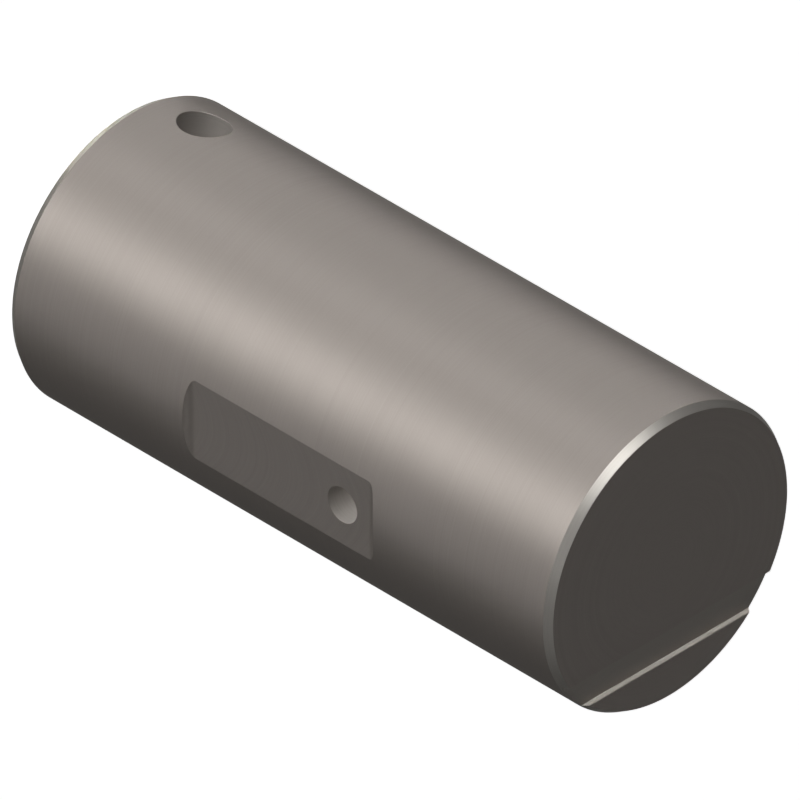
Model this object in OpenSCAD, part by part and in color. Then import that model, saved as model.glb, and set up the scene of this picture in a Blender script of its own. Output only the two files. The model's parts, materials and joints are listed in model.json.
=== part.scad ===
// Roller pin: a turned and ground steel pin that a roller runs on, made as one solid.
// It stands on its foot face with its axis along +Z, and the grease flat faces -Y.
// The flat spreads grease from a port that an axial gallery feeds from the foot face.

/* [Barrel] */
// Diameter of the ground barrel
pin_d = 76.2; // [60:0.1:120]
// Length over both end faces
pin_len = 170.7; // [140:0.1:260]

/* [Lead chamfers] */
// Length of each end's lead chamfer, along the axis
lead_len = 2; // [0.5:0.1:5]
// Angle between the lead chamfer and the axis, in degrees
lead_angle = 30; // [15:1:45]

/* [Grease flat] */
// Depth of the flat below the barrel, at its middle
flat_depth = 1.5; // [0.5:0.1:4]
// Length of the flat over both run-outs, centred on the pin
flat_len = 60; // [36:0.5:90]
// Radius that the milling cutter leaves at each end of the flat
runout_r = 3.2; // [2:0.1:8]

/* [Grease port and gallery] */
// Diameter of the port that opens into the flat
port_d = 9.1; // [4:0.1:14]
// Distance from the flat's head end to the port's axis
port_setback = 11; // [8:0.5:30]
// Diameter of the gallery along the axis
gallery_d = 6.4; // [3:0.1:9]
// Tapping diameter of the grease nipple's seat in the foot face
seat_d = 8.7; // [6:0.1:14]
// Depth of the nipple's seat
seat_depth = 14; // [8:0.5:30]
// Width of the chamfer round the mouth of the seat
seat_chamfer = 0.9; // [0.3:0.1:2]

/* [Lock hole] */
// Diameter of the blind hole that the lock bolt enters
lock_d = 12.8; // [6:0.1:18]
// Height of the lock hole's axis above the foot face
lock_height = 15.35; // [12:0.05:40]
// Depth of the lock hole's wall below the barrel
lock_depth = 20; // [6:0.5:23]
// Turn from the flat to the lock hole, clockwise as seen on the head face, in degrees
lock_turn = 103.25; // [60:0.25:180]

/* [Index groove] */
// Width of the groove across the head face
groove_w = 7.9; // [3:0.1:12]
// Depth of the groove
groove_depth = 1.5; // [0.5:0.1:5]
// Distance from the pin's axis to the middle of the groove
groove_offset = 23.1; // [8:0.1:25]

/* [Hidden] */

$fn = 180;
steel = [0.58, 0.55, 0.52];
// Angle between the two sides of a drill's point
drill_point = 118;
// How far a cut starts outside the surface that it enters
over = 1;
// How far the port's wall runs past the far side of the gallery
port_past = 1;
// Direction that the flat faces, from +X round +Z
flat_bearing = -90;

pin_r = pin_d / 2;
lead_rise = lead_len * tan(lead_angle);
// Distance from the axis to the floor of the flat
flat_plane = pin_r - flat_depth;
flat_mid = pin_len / 2;
// How far the round at each end of the flat reaches past its floor before it leaves the barrel
runout_len = flat_depth < runout_r
    ? sqrt(flat_depth * (2 * runout_r - flat_depth))
    : runout_r;
floor_len = flat_len - 2 * runout_len;
port_height = flat_mid + flat_len / 2 - port_setback;
port_depth = flat_plane + gallery_d / 2 + port_past;
lock_bearing = flat_bearing - lock_turn;

// Height of the cone that a drill of diameter d leaves at the bottom of its hole
function drill_drop(d) = d / 2 / tan(drill_point / 2);

// The turned blank: a cylinder with a lead chamfer at both ends
module blank() {
    rotate_extrude()
        polygon([
            [0, 0],
            [pin_r - lead_rise, 0],
            [pin_r, lead_len],
            [pin_r, pin_len - lead_len],
            [pin_r - lead_rise, pin_len],
            [0, pin_len]
        ]);
}

// A blind drilled hole that starts at the origin and runs along +Z, with its drill's point
module drilling(d, depth) {
    rotate_extrude()
        polygon([
            [0, -over],
            [d / 2, -over],
            [d / 2, depth],
            [0, depth + drill_drop(d)]
        ]);
}

// The path of the cutter that mills the grease flat. Its section along the pin has a
// straight floor, and a round at each end that is tangent to the floor
module flat_cutter() {
    reach = runout_r + flat_depth;
    translate([-pin_r, -flat_plane, flat_mid])
        rotate([90, 0, 90])
            linear_extrude(height = pin_d) {
                translate([-reach, -floor_len / 2])
                    square([reach, floor_len]);
                translate([-reach, -floor_len / 2 - runout_r])
                    square([flat_depth, floor_len + 2 * runout_r]);
                for (end = [-1, 1])
                    translate([-runout_r, end * floor_len / 2])
                        circle(r = runout_r);
            }
}

// The port from the flat right through the gallery, at right angles to the flat
module port() {
    translate([0, -flat_plane, port_height])
        rotate([-90, 0, 0])
            drilling(port_d, port_depth);
}

// The gallery from the foot face up to the port, with the chamfered seat at its mouth
module gallery() {
    chamfer_reach = seat_chamfer + over;
    drilling(gallery_d, port_height);
    drilling(seat_d, seat_depth);
    translate([0, 0, -over])
        cylinder(d1 = seat_d + 2 * chamfer_reach, d2 = seat_d, h = chamfer_reach);
}

// The blind radial hole near the foot
module lock_hole() {
    rotate([0, 0, lock_bearing])
        translate([pin_r, 0, lock_height])
            rotate([0, -90, 0])
                drilling(lock_d, lock_depth);
}

// The shallow groove right across the head face, square to the flat
module index_groove() {
    translate([groove_offset - groove_w / 2, -pin_r - over, pin_len - groove_depth])
        cube([groove_w, pin_d + 2 * over, groove_depth + over]);
}

module roller_pin() {
    color(steel)
        difference() {
            blank();
            flat_cutter();
            port();
            gallery();
            lock_hole();
            index_groove();
        }
}

roller_pin();
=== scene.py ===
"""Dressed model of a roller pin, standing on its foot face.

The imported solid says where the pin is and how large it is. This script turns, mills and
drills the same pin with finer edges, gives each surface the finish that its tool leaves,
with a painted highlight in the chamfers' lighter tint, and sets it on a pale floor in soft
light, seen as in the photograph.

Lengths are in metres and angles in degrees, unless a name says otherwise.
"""

from __future__ import annotations

import json
import logging
import math
from collections.abc import Callable, Iterator, Sequence
from contextlib import contextmanager
from dataclasses import dataclass, replace
from enum import Enum, IntEnum

import bmesh
import bpy
from mathutils import Matrix, Vector

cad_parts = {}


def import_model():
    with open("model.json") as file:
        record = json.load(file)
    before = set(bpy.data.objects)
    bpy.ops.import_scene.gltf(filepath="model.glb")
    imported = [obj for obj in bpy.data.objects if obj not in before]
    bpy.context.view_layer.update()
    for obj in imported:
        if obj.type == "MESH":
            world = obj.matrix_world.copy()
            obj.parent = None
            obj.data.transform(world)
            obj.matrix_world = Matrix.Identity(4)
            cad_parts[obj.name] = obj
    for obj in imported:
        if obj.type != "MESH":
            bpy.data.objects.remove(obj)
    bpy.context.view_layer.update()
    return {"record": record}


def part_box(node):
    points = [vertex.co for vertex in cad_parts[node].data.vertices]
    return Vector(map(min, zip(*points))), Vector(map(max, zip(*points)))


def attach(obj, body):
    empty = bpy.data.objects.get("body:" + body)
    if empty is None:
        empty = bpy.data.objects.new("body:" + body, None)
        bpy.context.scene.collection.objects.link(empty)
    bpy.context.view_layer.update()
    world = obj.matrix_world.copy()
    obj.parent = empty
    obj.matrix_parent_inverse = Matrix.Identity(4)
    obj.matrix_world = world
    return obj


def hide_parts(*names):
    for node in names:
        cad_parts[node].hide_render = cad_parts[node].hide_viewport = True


LOG = logging.getLogger("roller_pin")
MM = 0.001
NODE = "roller_pin"
BODY = "root"


# Mesh work in edit mode


# Lengths that differ by less than this are the same
SAME = 0.001 * MM
# A direction of length 1 that reaches further than this along an axis points along it
ALONG = 0.9
# The profile at which a bevel is part of a circle
ROUND = 0.5


def hold(piece: bpy.types.Object) -> None:
    """Makes one piece the active one, with nothing else selected.

    Args:
        piece: The object to work on.
    """
    bpy.ops.object.select_all(action="DESELECT")
    piece.select_set(True)
    bpy.context.view_layer.objects.active = piece


@contextmanager
def editing(piece: bpy.types.Object) -> Iterator[bmesh.types.BMesh]:
    """Opens one piece in edit mode with nothing selected, and closes it again.

    Args:
        piece: The object to edit.

    Yields:
        The mesh being edited, for selecting by place or normal.
    """
    hold(piece)
    bpy.ops.object.mode_set(mode="EDIT")
    bpy.ops.mesh.select_all(action="DESELECT")
    yield bmesh.from_edit_mesh(piece.data)
    bpy.ops.object.mode_set(mode="OBJECT")


def pick(
    mesh: bmesh.types.BMesh,
    kind: str,
    items: bmesh.types.BMFaceSeq | bmesh.types.BMEdgeSeq,
    wanted: Callable[[bmesh.types.BMFace | bmesh.types.BMEdge], bool],
) -> None:
    """Selects the faces or the edges that pass a test, and nothing else.

    Args:
        mesh: The mesh being edited.
        kind: FACE or EDGE.
        items: The mesh's faces or edges.
        wanted: Says whether one of them is wanted.
    """
    bpy.ops.mesh.select_all(action="DESELECT")
    bpy.ops.mesh.select_mode(type=kind)
    for item in items:
        item.select_set(wanted(item))
    mesh.select_flush_mode()


def pick_faces(mesh: bmesh.types.BMesh, wanted: Callable[[bmesh.types.BMFace], bool]) -> None:
    """Selects the faces that pass a test, and nothing else."""
    pick(mesh, "FACE", mesh.faces, wanted)


def pick_edges(mesh: bmesh.types.BMesh, wanted: Callable[[bmesh.types.BMEdge], bool]) -> None:
    """Selects the edges that pass a test, and nothing else."""
    pick(mesh, "EDGE", mesh.edges, wanted)


def is_top(face: bmesh.types.BMFace) -> bool:
    """True for a face that looks up."""
    return face.normal.z > ALONG


def is_bottom(face: bmesh.types.BMFace) -> bool:
    """True for a face that looks down."""
    return face.normal.z < -ALONG


def push_out(rise: float, grow_x: float = 1, grow_y: float = 1) -> None:
    """Extrudes the selected face along Z and scales the new one about its middle.

    Args:
        rise: How far up the new face moves.
        grow_x: The new face's size along X against the old one's.
        grow_y: The same along Y.
    """
    bpy.ops.mesh.extrude_region_move(TRANSFORM_OT_translate={"value": (0, 0, rise)})
    if (grow_x, grow_y) != (1, 1):
        bpy.ops.transform.resize(value=(grow_x, grow_y, 1))


def settle(piece: bpy.types.Object, place: Matrix | None = None) -> None:
    """Puts a piece in its place in the mesh itself, so that its object stays at the origin.

    Args:
        piece: The object to settle.
        place: Where it goes, or None to keep it where it is.
    """
    if place is not None:
        piece.matrix_world = place
    hold(piece)
    bpy.ops.object.transform_apply(location=True, rotation=True, scale=True)


def cut_away(piece: bpy.types.Object, tool: bpy.types.Object) -> None:
    """Cuts one solid out of another and throws the tool away. The cut keeps the tool's material.

    Args:
        piece: The solid that is cut.
        tool: The closed solid that the cut removes.
    """
    hold(piece)
    cut = piece.modifiers.new(tool.name, "BOOLEAN")
    cut.operation = "DIFFERENCE"
    cut.solver = "EXACT"
    cut.material_mode = "TRANSFER"
    cut.object = tool
    bpy.ops.object.modifier_apply(modifier=cut.name)
    bpy.data.objects.remove(tool)


# Shader nodes


def feed(
    tree: bpy.types.NodeTree,
    node: bpy.types.Node,
    inputs: dict[str | int, bpy.types.NodeSocket | float | Sequence[float]],
) -> None:
    """Gives a node's inputs what they read.

    Args:
        tree: The nodes of a material or of the world.
        node: The node to feed.
        inputs: For each input, by name or number, another node's output or a plain value.
    """
    for name, value in inputs.items():
        if isinstance(value, bpy.types.NodeSocket):
            tree.links.new(value, node.inputs[name])
        else:
            node.inputs[name].default_value = value


def add_node(
    tree: bpy.types.NodeTree,
    kind: str,
    inputs: dict[str | int, bpy.types.NodeSocket | float | Sequence[float]] | None = None,
    **settings: str,
) -> bpy.types.Node:
    """Adds a node, makes its choices and feeds it.

    Args:
        tree: The nodes of a material or of the world.
        kind: The node's type, without the ShaderNode in front.
        inputs: What its inputs read, as feed takes it.
        settings: The node's own choices, such as its operation.

    Returns:
        The node.
    """
    node = tree.nodes.new("ShaderNode" + kind)
    for name, choice in settings.items():
        setattr(node, name, choice)
    feed(tree, node, inputs or {})
    return node


def maths(
    tree: bpy.types.NodeTree, operation: str, *values: bpy.types.NodeSocket | float
) -> bpy.types.NodeSocket:
    """Works something out from numbers.

    Args:
        tree: The nodes of a material or of the world.
        operation: What is done with the numbers.
        values: The numbers in order, each an output or a plain value.

    Returns:
        The result.
    """
    node = add_node(tree, "Math", dict(enumerate(values)), operation=operation)
    return node.outputs["Value"]


def vector_maths(
    tree: bpy.types.NodeTree, operation: str, *values: bpy.types.NodeSocket | Sequence[float]
) -> bpy.types.NodeSocket:
    """Works something out from places or directions.

    Args:
        tree: The nodes of a material or of the world.
        operation: What is done with them.
        values: The places or directions in order, each an output or a plain value.

    Returns:
        The result, which is a number for a length or a dot product.
    """
    node = add_node(tree, "VectorMath", dict(enumerate(values)), operation=operation)
    is_number = operation in ("LENGTH", "DOT_PRODUCT")
    return node.outputs["Value" if is_number else "Vector"]


# Finishes


# The colour of the bare steel
STEEL = (0.413, 0.374, 0.344)
# A tool's lines are noise of this detail, and most of it lies between these heights
NOISE_DETAIL = 2.0
LINE_LOW = 0.25
LINE_HIGH = 0.75


class Marks(Enum):
    """Which way a tool's fine lines run on the surface that it leaves."""

    HOOPS = "rings square to an axis, on a ground barrel or a drilled wall"
    RINGS = "rings about the pin's axis, on a turned face"
    ARCS = "arcs that follow each other along the path of a milling cutter"


@dataclass(frozen=True)
class Finish:
    """Steel as one tool leaves it: its colour, its gloss and its fine lines.

    Attributes:
        name: The material's name.
        marks: Which way the lines run.
        tint: The steel's colour, made lighter on the chamfers as a painted highlight.
        bareness: 1 for bare metal, and less under grease.
        roughness: Roughness of the surface halfway up the lines.
        uneven: How much rougher the bottom of the lines is, and how much smoother the top.
        shade: How much darker the bottom is, and how much lighter the top, as a share.
        pitch: Spacing of the lines.
        relief: Height of the lines.
        axis: For hoops, their axis, and for arcs, the way of the cutter.
        across: For arcs, the direction across the cutter's way.
        sweep: For arcs, their radius.
        drift: How often the lines change along their length, for each metre.
    """

    name: str
    marks: Marks
    tint: tuple[float, float, float] = STEEL
    bareness: float = 1.0
    roughness: float = 0.52
    uneven: float = 0.04
    shade: float = 0.035
    pitch: float = 0.3 * MM
    relief: float = 0.001 * MM
    axis: tuple[float, float, float] = (0, 0, 1)
    across: tuple[float, float, float] = (1, 0, 0)
    sweep: float = 12 * MM
    drift: float = 12

    def dress(self) -> bpy.types.Material:
        """Makes the material.

        Returns:
            The material, whose lines follow the piece's own coordinates.
        """
        made = bpy.data.materials.new(self.name)
        made.use_nodes = True
        tree = made.node_tree
        lines = self._lines(tree, add_node(tree, "TexCoord").outputs["Object"])
        shades = {"A": self._shaded(1 - self.shade), "B": self._shaded(1 + self.shade)}
        colour = add_node(tree, "Mix", {"Factor": lines, **shades}, data_type="RGBA")
        gloss = {
            "Value": lines,
            "From Min": LINE_LOW,
            "From Max": LINE_HIGH,
            "To Min": self.roughness + self.uneven,
            "To Max": self.roughness - self.uneven,
        }
        bump = {"Strength": 1.0, "Distance": self.relief, "Height": lines}
        surface = {
            "Metallic": self.bareness,
            "Base Color": colour.outputs["Result"],
            "Roughness": add_node(tree, "MapRange", gloss).outputs["Result"],
            "Normal": add_node(tree, "Bump", bump).outputs["Normal"],
        }
        feed(tree, tree.nodes["Principled BSDF"], surface)
        return made

    def _shaded(self, factor: float) -> tuple[float, float, float, float]:
        """The tint, made darker or lighter by a factor, as a shader takes it."""
        return (*(part * factor for part in self.tint), 1)

    def _lines(
        self, tree: bpy.types.NodeTree, place: bpy.types.NodeSocket
    ) -> bpy.types.NodeSocket:
        """Draws the tool's lines, which fade in and out slowly along their length.

        Args:
            tree: The material's nodes.
            place: Where the surface is, in metres.

        Returns:
            The height of the lines, about 0 to 1.
        """
        count = maths(tree, "DIVIDE", self._phase(tree, place), self.pitch)
        ladder = add_node(tree, "CombineXYZ", {"X": count}).outputs["Vector"]
        spot = vector_maths(tree, "MULTIPLY_ADD", place, (self.drift,) * 3, ladder)
        noise = {"Vector": spot, "Scale": 1.0, "Detail": NOISE_DETAIL}
        return add_node(tree, "TexNoise", noise).outputs["Fac"]

    def _phase(
        self, tree: bpy.types.NodeTree, place: bpy.types.NodeSocket
    ) -> bpy.types.NodeSocket:
        """Measures the distance that the lines are spaced along, in metres.

        Args:
            tree: The material's nodes.
            place: Where the surface is, in metres.

        Returns:
            The distance.
        """
        if self.marks is Marks.RINGS:
            level = vector_maths(tree, "MULTIPLY", place, (1, 1, 0))
            return vector_maths(tree, "LENGTH", level)
        travel = vector_maths(tree, "DOT_PRODUCT", place, self.axis)
        if self.marks is Marks.HOOPS:
            return travel
        aside = vector_maths(tree, "DOT_PRODUCT", place, self.across)
        square = maths(tree, "MULTIPLY", aside, aside)
        return maths(tree, "MULTIPLY_ADD", square, 1 / (2 * self.sweep), travel)


@dataclass(frozen=True)
class ShopFinishes:
    """The finish of each surface of the pin."""

    barrel: Finish = Finish("ground_barrel", Marks.HOOPS, pitch=0.22 * MM, shade=0.025)
    ends: Finish = Finish("turned_ends", Marks.RINGS, pitch=0.35 * MM)
    # Painted highlight: the chamfers' tint is the steel made lighter and more neutral, so that
    # their shine renders brighter and whiter; their fine lines are real turning marks.
    chamfers: Finish = Finish(
        "turned_chamfers_painted_highlight",
        Marks.HOOPS,
        tint=(0.59, 0.563, 0.522),
        roughness=0.48,
        pitch=0.2 * MM,
        shade=0.03,
    )
    flat: Finish = Finish("milled_flat", Marks.ARCS, pitch=0.5 * MM)
    groove: Finish = Finish(
        "milled_groove",
        Marks.ARCS,
        tint=(0.413, 0.382, 0.348),
        roughness=0.45,
        axis=(0, 1, 0),
        pitch=0.4 * MM,
        sweep=6 * MM,
    )
    edges: Finish = Finish("broken_edges", Marks.HOOPS, roughness=0.6, shade=0.02)
    bores: Finish = Finish(
        "bore",
        Marks.HOOPS,
        tint=(0.313, 0.291, 0.269),
        bareness=0.35,
        roughness=0.7,
        pitch=0.4 * MM,
    )

    def bore(self, name: str, axis: Vector) -> Finish:
        """The finish of one drilled hole, whose feed rings are square to its axis."""
        return replace(self.bores, name=name + "_wall", axis=tuple(axis))


# The pin and the cuts in it


class BarFace(IntEnum):
    """The surfaces of the bar, in the order of its materials."""

    BARREL = 0
    END = 1
    CHAMFER = 2


class HoleFace(IntEnum):
    """The surfaces of a drilled hole, in the order of its materials."""

    WALL = 0
    MOUTH = 1


@dataclass
class Blank:
    """The turned and ground bar: a cylinder with a lead chamfer and a broken edge at both ends.

    Attributes:
        radius: Radius of the barrel.
        length: Length over both ends.
        lead_len: Length of a chamfer along the bar.
        lead_angle: Angle of a chamfer to the bar's axis.
        edge_break: Size of the broken edge between an end face and its chamfer.
        edge_steps: Steps across that edge.
        sides: Sides of the barrel.
    """

    radius: float
    length: float
    lead_len: float = 2 * MM
    lead_angle: float = 30
    edge_break: float = 0.1 * MM
    edge_steps: int = 2
    sides: int = 720

    def face_radius(self) -> float:
        """Radius of the end faces, inside the lead chamfer."""
        return self.radius - self.lead_len * math.tan(math.radians(self.lead_angle))

    def turn(self, shop: ShopFinishes) -> bpy.types.Object:
        """Turns the bar.

        Args:
            shop: The finishes of the barrel, the end faces and the chamfers.

        Returns:
            The bar, standing on the origin.
        """
        bpy.ops.mesh.primitive_cylinder_add(
            vertices=self.sides,
            radius=self.radius,
            depth=self.length - 2 * self.lead_len,
            end_fill_type="NGON",
            location=(0, 0, self.length / 2),
        )
        bar = bpy.context.active_object
        bar.name = "bar"
        for finish in (shop.barrel, shop.ends, shop.chamfers):
            bar.data.materials.append(finish.dress())
        settle(bar)
        shrink = self.face_radius() / self.radius
        with editing(bar) as mesh:
            for is_end, way in ((is_top, 1), (is_bottom, -1)):
                pick_faces(mesh, is_end)
                push_out(way * self.lead_len, shrink, shrink)
            for face in mesh.faces:
                face.material_index = self._surface(face)
            pick_edges(mesh, self._is_end_rim)
            bpy.ops.mesh.bevel(offset=self.edge_break, segments=self.edge_steps, profile=ROUND)
        return bar

    def _surface(self, face: bmesh.types.BMFace) -> BarFace:
        """Tells the bar's surfaces apart by how they face.

        Args:
            face: A face of the bar.

        Returns:
            The surface that it belongs to.
        """
        if is_top(face) or is_bottom(face):
            return BarFace.END
        chamfer_lean = math.sin(math.radians(self.lead_angle))
        is_chamfer = abs(face.normal.z) > chamfer_lean / 2
        return BarFace.CHAMFER if is_chamfer else BarFace.BARREL

    def _is_end_rim(self, edge: bmesh.types.BMEdge) -> bool:
        """True for the edges between an end face and its chamfer."""
        half = self.length / 2
        return all(abs(abs(vert.co.z - half) - half) < SAME for vert in edge.verts)


@dataclass
class GreaseFlat:
    """The flat milled in the barrel's side, with a round run-out at both ends. It faces -Y.

    Attributes:
        pin_radius: Radius of the barrel.
        middle: Height of the flat's middle.
        length: Length over both run-outs, at the level of the barrel.
        depth: Depth of the floor below the barrel.
        runout_radius: Radius of the run-outs.
        runout_steps: Steps round a run-out.
    """

    pin_radius: float
    middle: float
    length: float = 60 * MM
    depth: float = 1.5 * MM
    runout_radius: float = 3.2 * MM
    runout_steps: int = 32

    def floor(self) -> float:
        """Distance from the pin's axis to the floor."""
        return self.pin_radius - self.depth

    def cutter(self, milled: bpy.types.Material) -> bpy.types.Object:
        """Makes the path of the cutter.

        Args:
            milled: Finish that the cutter leaves.

        Returns:
            The solid that the cut removes.
        """
        runout = math.sqrt(self.depth * (2 * self.runout_radius - self.depth))
        reach = self.runout_radius + self.depth
        width = 2 * self.pin_radius
        height = self.length - 2 * runout + 2 * self.runout_radius
        bpy.ops.mesh.primitive_cube_add(
            size=1,
            location=(0, -self.floor() - reach / 2, self.middle),
            scale=(width, reach, height),
        )
        tool = bpy.context.active_object
        tool.name = "flat_cutter"
        tool.data.materials.append(milled)
        settle(tool)
        with editing(tool) as mesh:
            pick_edges(mesh, self._is_floor_end)
            bpy.ops.mesh.bevel(
                offset=self.runout_radius, segments=self.runout_steps, profile=ROUND
            )
        return tool

    def _is_floor_end(self, edge: bmesh.types.BMEdge) -> bool:
        """Picks the two edges across the pin at the ends of the cutter's floor.

        Args:
            edge: An edge of the cutter's block.

        Returns:
            True for those two.
        """
        first, last = (vert.co for vert in edge.verts)
        across = abs(first.x - last.x) > self.pin_radius
        return across and max(first.y, last.y) > -self.floor() - SAME


@dataclass
class Drilling:
    """A blind hole made by a drill with a point, its mouth edge broken or chamfered.

    Attributes:
        name: The hole's name.
        mouth: Middle of its mouth.
        outward: Direction out of the hole.
        radius: Radius of its wall.
        depth: Depth of its wall below the mouth.
        chamfer: Size of the chamfer round its mouth, at 45 degrees.
        saddle_radius: Radius of the barrel that the mouth lies on, or None on a flat face.
        point_angle: Angle between the two sides of the drill's point.
        sides: Sides of the wall.
    """

    name: str
    mouth: Vector
    outward: Vector
    radius: float
    depth: float
    chamfer: float = 0.08 * MM
    saddle_radius: float | None = None
    point_angle: float = 118
    sides: int = 180

    def cutter(self, drilled: bpy.types.Material, broken: bpy.types.Material) -> bpy.types.Object:
        """Makes the path of the drill and of the tool that breaks the mouth's edge.

        Args:
            drilled: Finish of the hole's wall.
            broken: Finish of the chamfer round its mouth.

        Returns:
            The solid that the cut removes.
        """
        wall = self.depth - self.chamfer
        bpy.ops.mesh.primitive_cylinder_add(
            vertices=self.sides,
            radius=self.radius,
            depth=wall,
            end_fill_type="NGON",
            location=(0, 0, -self.chamfer - wall / 2),
        )
        tool = bpy.context.active_object
        tool.name = self.name + "_drill"
        for finish in (drilled, broken):
            tool.data.materials.append(finish)
        settle(tool)
        with editing(tool) as mesh:
            pick_faces(mesh, is_bottom)
            push_out(-self.radius / math.tan(math.radians(self.point_angle / 2)))
            bpy.ops.mesh.merge(type="CENTER")
            self._flare(mesh)
            self._shape(mesh)
        settle(tool, self._placing())
        return tool

    def _flare(self, mesh: bmesh.types.BMesh) -> None:
        """Adds the chamfer, which runs on above the mouth, and a stub that clears the surface.

        Args:
            mesh: The drill's path, being edited.
        """
        wider = (self.radius + 2 * self.chamfer) / self.radius
        pick_faces(mesh, is_top)
        push_out(2 * self.chamfer, wider, wider)
        for face in mesh.faces:
            if face.calc_center_median().z > -self.chamfer:
                face.material_index = HoleFace.MOUTH
        pick_faces(mesh, is_top)
        push_out(self.radius)

    def _shape(self, mesh: bmesh.types.BMesh) -> None:
        """Lowers the rings round the mouth to the barrel, which falls away on both sides.

        Args:
            mesh: The drill's path, being edited.
        """
        if self.saddle_radius is None:
            return
        for vert in mesh.verts:
            if vert.co.z > -self.depth / 2:
                drop = math.sqrt(self.saddle_radius**2 - vert.co.y**2) - self.saddle_radius
                vert.co.z += drop

    def _placing(self) -> Matrix:
        """Works out the way from the drill's own frame to the pin's.

        Returns:
            The turn and the move. The drill's X then lies along the pin where it can.
        """
        up = self.outward.normalized()
        along = Vector((1, 0, 0)) if abs(up.z) > ALONG else Vector((0, 0, 1))
        side = up.cross(along).normalized()
        turn = Matrix((along, side, up)).transposed()
        return Matrix.Translation(self.mouth) @ turn.to_4x4()


@dataclass
class TappedSeat(Drilling):
    """A drilled and chamfered hole with a thread cut in its wall.

    Attributes:
        pitch: Height of one turn of the thread.
        thread_depth: Depth of the thread in the wall.
        thread_len: Length of the thread below the mouth.
        flank: How steep the thread's flanks are, in depths for each pitch.
        rings: Rings of points for each turn.
    """

    chamfer: float = 0.9 * MM
    sides: int = 96
    pitch: float = 0.94 * MM
    thread_depth: float = 0.6 * MM
    thread_len: float = 11 * MM
    flank: float = 2.3
    rings: int = 8

    def wall_radius(self, height: float, bearing: float) -> float:
        """Gives the radius of the tapped wall, or of the chamfer where that is wider.

        Args:
            height: Height above the mouth.
            bearing: Direction from the axis, in radians.

        Returns:
            The radius there.
        """
        phase = (height / self.pitch - bearing / math.tau) % 1
        tooth = min(self.flank * min(phase, 1 - phase), 1)
        fade = min(max((height + self.thread_len) / self.pitch, 0), 1)
        chamfer = max(height + self.chamfer, 0)
        return self.radius + max(self.thread_depth * tooth * fade, chamfer)

    def _shape(self, mesh: bmesh.types.BMesh) -> None:
        """Cuts the wall and the chamfer into rings and sets each ring out along the thread.

        Args:
            mesh: The drill's path, being edited.
        """
        turns = math.ceil((self.depth - self.chamfer) / self.pitch)
        for upper, cuts in ((-self.chamfer, turns * self.rings), (self.chamfer, self.rings)):
            pick_edges(mesh, lambda edge, upper=upper: self._runs_up_to(edge, upper))
            bpy.ops.mesh.subdivide(number_cuts=cuts)
        for vert in mesh.verts:
            if -self.depth - SAME < vert.co.z < self.chamfer + SAME:
                reach = self.wall_radius(vert.co.z, math.atan2(vert.co.y, vert.co.x))
                vert.co.xy *= reach / vert.co.xy.length

    def _runs_up_to(self, edge: bmesh.types.BMEdge, upper: float) -> bool:
        """Picks the upright edges of the wall or of the chamfer.

        Args:
            edge: An edge of the drill's path.
            upper: Height at which the wanted edges end.

        Returns:
            True for those edges.
        """
        low, high = sorted(vert.co.z for vert in edge.verts)
        upright = high - low > self.chamfer and low > -self.depth - SAME
        return upright and abs(high - upper) < SAME


@dataclass
class IndexGroove:
    """The shallow groove right across the head face, along Y.

    Attributes:
        pin_radius: Radius of the barrel.
        head: Height of the head face.
        offset: Distance of the groove's middle from the pin's axis, along X.
        width: Width of the groove.
        depth: Depth of the groove.
        edge_break: Size of the broken edges along it.
        overrun: Length of the cutter's path against the pin's diameter.
    """

    pin_radius: float
    head: float
    offset: float
    width: float = 7.9 * MM
    depth: float = 1.5 * MM
    edge_break: float = 0.15 * MM
    overrun: float = 1.1

    def cutter(self, milled: bpy.types.Material) -> bpy.types.Object:
        """Makes the path of the cutter, flared where the groove's edges are broken.

        Args:
            milled: Finish that the cutter leaves.

        Returns:
            The solid that the cut removes.
        """
        wall = self.depth - self.edge_break
        wider = (self.width + 4 * self.edge_break) / self.width
        bpy.ops.mesh.primitive_cube_add(
            size=1,
            location=(self.offset, 0, self.head - self.depth + wall / 2),
            scale=(self.width, self.overrun * 2 * self.pin_radius, wall),
        )
        tool = bpy.context.active_object
        tool.name = "groove_cutter"
        tool.data.materials.append(milled)
        settle(tool)
        with editing(tool) as mesh:
            pick_faces(mesh, is_top)
            push_out(2 * self.edge_break, wider)
            push_out(self.depth)
        return tool


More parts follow.
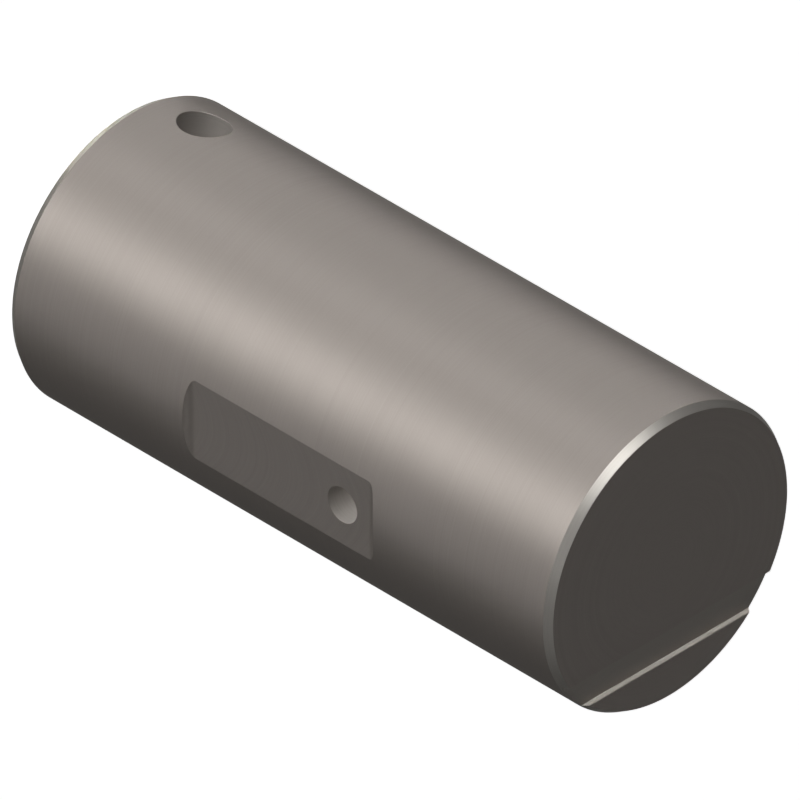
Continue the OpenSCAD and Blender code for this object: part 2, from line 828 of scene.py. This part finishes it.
@dataclass
class RollerPin:
    """The whole pin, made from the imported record's barrel, holes and groove.

    Attributes:
        record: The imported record.
        low: Lowest corner of the pin's box.
        high: Highest corner of the pin's box.
        lock_depth: Depth of the lock hole's wall below the barrel.
        seat_depth: Depth of the nipple seat's wall.
        gallery_radius: Radius of the grease gallery along the pin's axis.
        port_past: How far the port's wall runs past the gallery.
        crease_angle: Edges that turn by more than this stay sharp.
        finishes: The finish of each surface.
    """

    record: dict
    low: Vector
    high: Vector
    lock_depth: float = 20 * MM
    seat_depth: float = 14 * MM
    gallery_radius: float = 3.2 * MM
    port_past: float = 1 * MM
    crease_angle: float = 4
    finishes: ShopFinishes = ShopFinishes()

    def mount(self, name: str) -> dict:
        """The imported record's mount of that name."""
        return next(mount for mount in self.record["mounts"] if mount["name"] == name)

    def mount_radius(self, name: str) -> float:
        """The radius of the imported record's mount of that name."""
        return self.mount(name)["dims"]["r_mm"] * MM

    def drilling(
        self, name: str, reach: float, kind: type[Drilling] = Drilling, **settings: float
    ) -> Drilling:
        """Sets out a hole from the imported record.

        Args:
            name: The mount's name.
            reach: How far out along the hole's axis its mouth lies, from the origin.
            kind: The class of the hole.
            settings: Other fields of the drilling.

        Returns:
            The drilling.
        """
        outward = Vector(self.mount(name)["axis"])
        place = Vector(self.mount(name)["pos_m"])
        mouth = place + outward * (reach - place.dot(outward))
        return kind(name, mouth, outward, self.mount_radius(name), **settings)

    def holes(self, radius: float, floor: float) -> tuple[Drilling, ...]:
        """Sets out the greasing passages and the lock hole.

        Args:
            radius: Radius of the barrel.
            floor: Distance from the pin's axis to the grease flat's floor.

        Returns:
            The holes, in the order in which they are drilled.
        """
        past = floor + self.gallery_radius + self.port_past
        port = self.drilling("grease_port", floor, depth=past)
        foot, down = Vector((0, 0, 0)), Vector((0, 0, -1))
        gallery = Drilling("gallery", foot, down, self.gallery_radius, depth=port.mouth.z)
        seat = self.drilling("nipple_seat", 0, TappedSeat, depth=self.seat_depth)
        lock = self.drilling("lock_hole", radius, depth=self.lock_depth, saddle_radius=radius)
        return port, gallery, seat, lock

    def cutters(self, radius: float) -> list[bpy.types.Object]:
        """Makes the path of every tool that cuts into the bar.

        Args:
            radius: Radius of the barrel.

        Returns:
            The solids that the cuts remove, in the order of the cuts.
        """
        shop = self.finishes
        edges = shop.edges.dress()
        flat = GreaseFlat(radius, self.high.z / 2)
        groove = IndexGroove(radius, self.high.z, self.mount("index_groove")["pos_m"][0])
        milled = [flat.cutter(shop.flat.dress()), groove.cutter(shop.groove.dress())]
        drilled = [
            hole.cutter(shop.bore(hole.name, hole.outward).dress(), edges)
            for hole in self.holes(radius, flat.floor())
        ]
        return milled + drilled

    def build(self) -> bpy.types.Object:
        """Turns the blank and makes every cut in it.

        Returns:
            The finished pin.
        """
        radius = self.mount_radius("barrel")
        pin = Blank(radius, self.high.z - self.low.z).turn(self.finishes)
        for tool in self.cutters(radius):
            LOG.info("cutting with %s", tool.name)
            cut_away(pin, tool)
        pin.name = "pin_body"
        hold(pin)
        bpy.ops.object.shade_smooth_by_angle(angle=math.radians(self.crease_angle))
        return pin


# The studio


@dataclass(frozen=True)
class PhotoCamera:
    """The photograph's view, an exact isometric one, taken through a very long lens.

    Attributes:
        lens_mm: Focal length, in millimetres.
        sensor_mm: Width of the sensor, in millimetres.
        distance: Distance from the aim to the camera.
        aim: The point in the middle of the picture.
    """

    lens_mm: float = 1700
    sensor_mm: float = 36
    distance: float = 8.4265
    aim: tuple[float, float, float] = (-0.5 * MM, 0.51 * MM, 85.36 * MM)

    def place(self) -> bpy.types.Object:
        """Makes the camera and gives it to the scene.

        Returns:
            The camera.
        """
        back = Vector((-1, -1, 1)).normalized()
        right = Vector((0, 1, 1)).normalized()
        turn = Matrix((right, back.cross(right), back)).transposed()
        lens = bpy.data.cameras.new("photo_camera")
        lens.lens = self.lens_mm
        lens.sensor_width = self.sensor_mm
        lens.clip_end = 2 * self.distance
        camera = bpy.data.objects.new("photo_camera", lens)
        spot = Vector(self.aim) + back * self.distance
        camera.matrix_world = Matrix.Translation(spot) @ turn.to_4x4()
        bpy.context.scene.collection.objects.link(camera)
        bpy.context.scene.camera = camera
        return camera


@dataclass(frozen=True)
class SoftLamp:
    """A large soft lamp, far away on one side of the pin.

    The filling lamps cast no shadow, so they also light the insides of the holes.

    Attributes:
        name: The lamp's name.
        turn: Bearing of the lamp from the pin: 0 is -X, and 90 is +Y.
        lift: Its angle above the floor. Below 0 it shines from under the floor.
        power: Its strength, in watts for each square metre.
        width: How wide it looks from the pin.
        casts: Whether it casts shadows.
    """

    name: str
    turn: float
    lift: float
    power: float
    width: float = 26
    casts: bool = False

    def toward(self) -> Vector:
        """Works out which way the lamp lies.

        Returns:
            The direction from the pin to the lamp.
        """
        turn, lift = math.radians(self.turn), math.radians(self.lift)
        level = math.cos(lift)
        return Vector((-math.cos(turn) * level, math.sin(turn) * level, math.sin(lift)))

    def hang(self) -> bpy.types.Object:
        """Puts the lamp in the scene.

        Returns:
            The lamp.
        """
        light = bpy.data.lights.new(self.name, "SUN")
        light.energy = self.power
        light.angle = math.radians(self.width)
        light.use_shadow = self.casts
        light.cycles.use_multiple_importance_sampling = self.casts
        lamp = bpy.data.objects.new(self.name, light)
        lamp.rotation_euler = self.toward().to_track_quat("Z", "Y").to_euler()
        bpy.context.scene.collection.objects.link(lamp)
        return lamp


@dataclass(frozen=True)
class Ground:
    """The pale ground, white to the camera and dim in the steel's reflections.

    Attributes:
        colour: The floor's colour to the camera.
        bounce: The floor's colour in reflections.
        floor_glow: The floor's glow to the camera.
        sky_glow: The world's glow to the camera, where 1 is white.
        to_steel: The glow of both in reflections.
        ambient: What the world gives to every ray.
        size: Side of the floor.
    """

    colour: float = 0.8
    bounce: float = 0.12
    floor_glow: float = 0.86
    sky_glow: float = 1.0
    to_steel: float = 0.05
    ambient: float = 0.01
    size: float = 8.0

    def lay(self) -> bpy.types.Object:
        """Lays the floor under the pin. It lets the light of the lamps below it through.

        Returns:
            The floor.
        """
        bpy.ops.object.select_all(action="DESELECT")
        bpy.ops.mesh.primitive_plane_add(size=self.size)
        floor = bpy.context.active_object
        floor.name = "floor"
        floor.visible_shadow = False
        floor.data.materials.append(self._paint())
        return floor

    def light_world(self) -> None:
        """Sets a dim even world, which looks as pale as the floor."""
        world = bpy.data.worlds.new("studio")
        bpy.context.scene.world = world
        world.use_nodes = True
        tree = world.node_tree
        glow = self._by_ray(tree, self.sky_glow, self.to_steel)
        strength = maths(tree, "ADD", glow, self.ambient)
        feed(tree, tree.nodes["Background"], {"Color": (1, 1, 1, 1), "Strength": strength})

    def _paint(self) -> bpy.types.Material:
        """Makes the floor's material.

        Returns:
            The material.
        """
        made = bpy.data.materials.new("pale_floor")
        made.use_nodes = True
        tree = made.node_tree
        surface = {
            "Roughness": 1.0,
            "Specular IOR Level": 0.0,
            "Emission Color": (1, 1, 1, 1),
            "Base Color": self._by_ray(tree, self.colour, self.bounce),
            "Emission Strength": self._by_ray(tree, self.floor_glow, self.to_steel),
        }
        feed(tree, tree.nodes["Principled BSDF"], surface)
        return made

    @staticmethod
    def _by_ray(
        tree: bpy.types.NodeTree, to_camera: float, to_steel: float
    ) -> bpy.types.NodeSocket:
        """Gives each kind of ray its own value of the ground's colour or glow.

        Args:
            tree: The nodes of the floor or of the world.
            to_camera: The value that the camera sees, where 1 is white.
            to_steel: The value in reflections and through glass.

        Returns:
            The value for the ray at hand, which is 0 for all other kinds.
        """
        ray = add_node(tree, "LightPath").outputs
        seen = maths(tree, "MULTIPLY", ray["Is Camera Ray"], to_camera)
        mirrored = maths(tree, "MAXIMUM", ray["Is Glossy Ray"], ray["Is Transmission Ray"])
        return maths(tree, "MULTIPLY_ADD", mirrored, to_steel, seen)


# The filling lamps, the strongest first, and then the two that cast shadows
LAMPS = (
    SoftLamp("key", -20, 6, 0.99),
    SoftLamp("front", 0, 10, 0.77),
    SoftLamp("low_corner", -60, -30, 0.44),
    SoftLamp("low_left", -50, -38, 0.37),
    SoftLamp("under", 90, -65, 0.26),
    SoftLamp("low_front", 0, -30, 0.23),
    SoftLamp("far_side", 60, -25, 0.2),
    SoftLamp("low_right", 40, -40, 0.17),
    SoftLamp("left", -80, 14, 0.15),
    SoftLamp("flat_side", -110, -30, 0.14),
    SoftLamp("runout_fill", -133, 31, 0.1),
    SoftLamp("head_fill", 140, 10, 0.07),
    SoftLamp("back", 130, -15, 1.0, casts=True),
    SoftLamp("top", 0, 90, 0.2, width=60, casts=True),
)


def main() -> None:
    """Builds the pin, the studio and the camera in order."""
    logging.basicConfig(level=logging.INFO, format="%(name)s: %(message)s")
    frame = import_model()
    low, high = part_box(NODE)
    pin = RollerPin(frame["record"], low, high).build()
    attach(pin, BODY)
    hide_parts(NODE)
    LOG.info("%s has %d faces", pin.name, len(pin.data.polygons))
    ground = Ground()
    ground.lay()
    ground.light_world()
    for lamp in LAMPS:
        lamp.hang()
    PhotoCamera().place()
    bpy.context.scene.view_settings.view_transform = "Standard"


if __name__ == "__main__":
    main()
